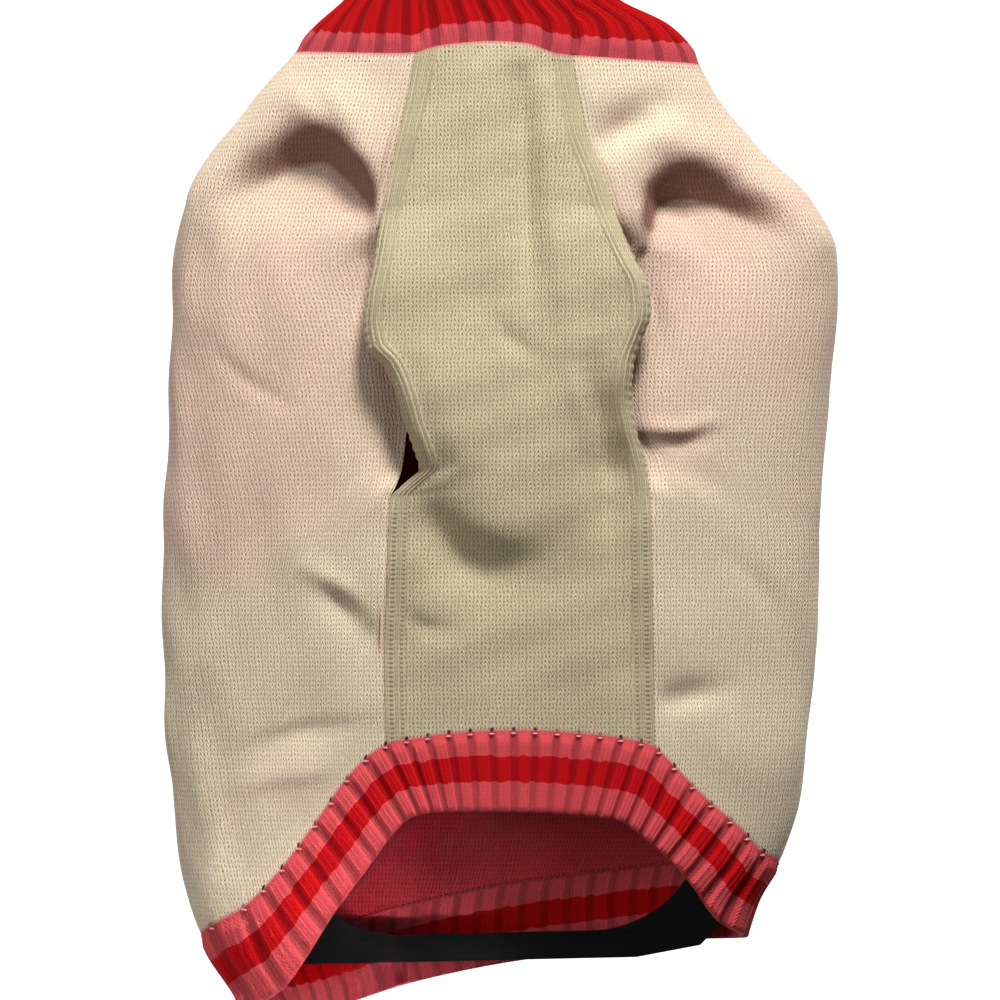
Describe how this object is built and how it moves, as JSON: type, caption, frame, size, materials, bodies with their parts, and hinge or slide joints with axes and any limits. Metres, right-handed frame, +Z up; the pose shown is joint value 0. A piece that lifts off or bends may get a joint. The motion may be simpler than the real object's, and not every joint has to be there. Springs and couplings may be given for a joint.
{
  "type": "dog sweater on hanger",
  "caption": "Knitted dog sweater with a ribbed neck, leg openings and an arched striped hem, hung belly side out on a moulded pet hanger.",
  "frame": {"origin": "top of the hook's throat, where a rail carries the hanger", "axes": "+X to the right seen from the belly side, +Y from the belly to the back, +Z up through the neck to the hook"},
  "size_m": [0.2129, 0.0685, 0.4101],
  "materials": {
    "belly_knit": "fine plain knit, cream",
    "body_knit": "fine plain knit, warm cream over a coral inside",
    "neck_knit": "ribbed knit, red with a pink stripe at the seam",
    "hem_knit": "ribbed knit, pink, red and pink stripes",
    "hanger_plastic": "moulded, glossy black"
  },
  "bodies": {
    "root": {"belly_panel": "belly_knit", "back_panel": "body_knit", "neck_rib": "neck_knit", "hem_rib": "hem_knit", "hanger": "hanger_plastic"}
  },
  "joints": []
}
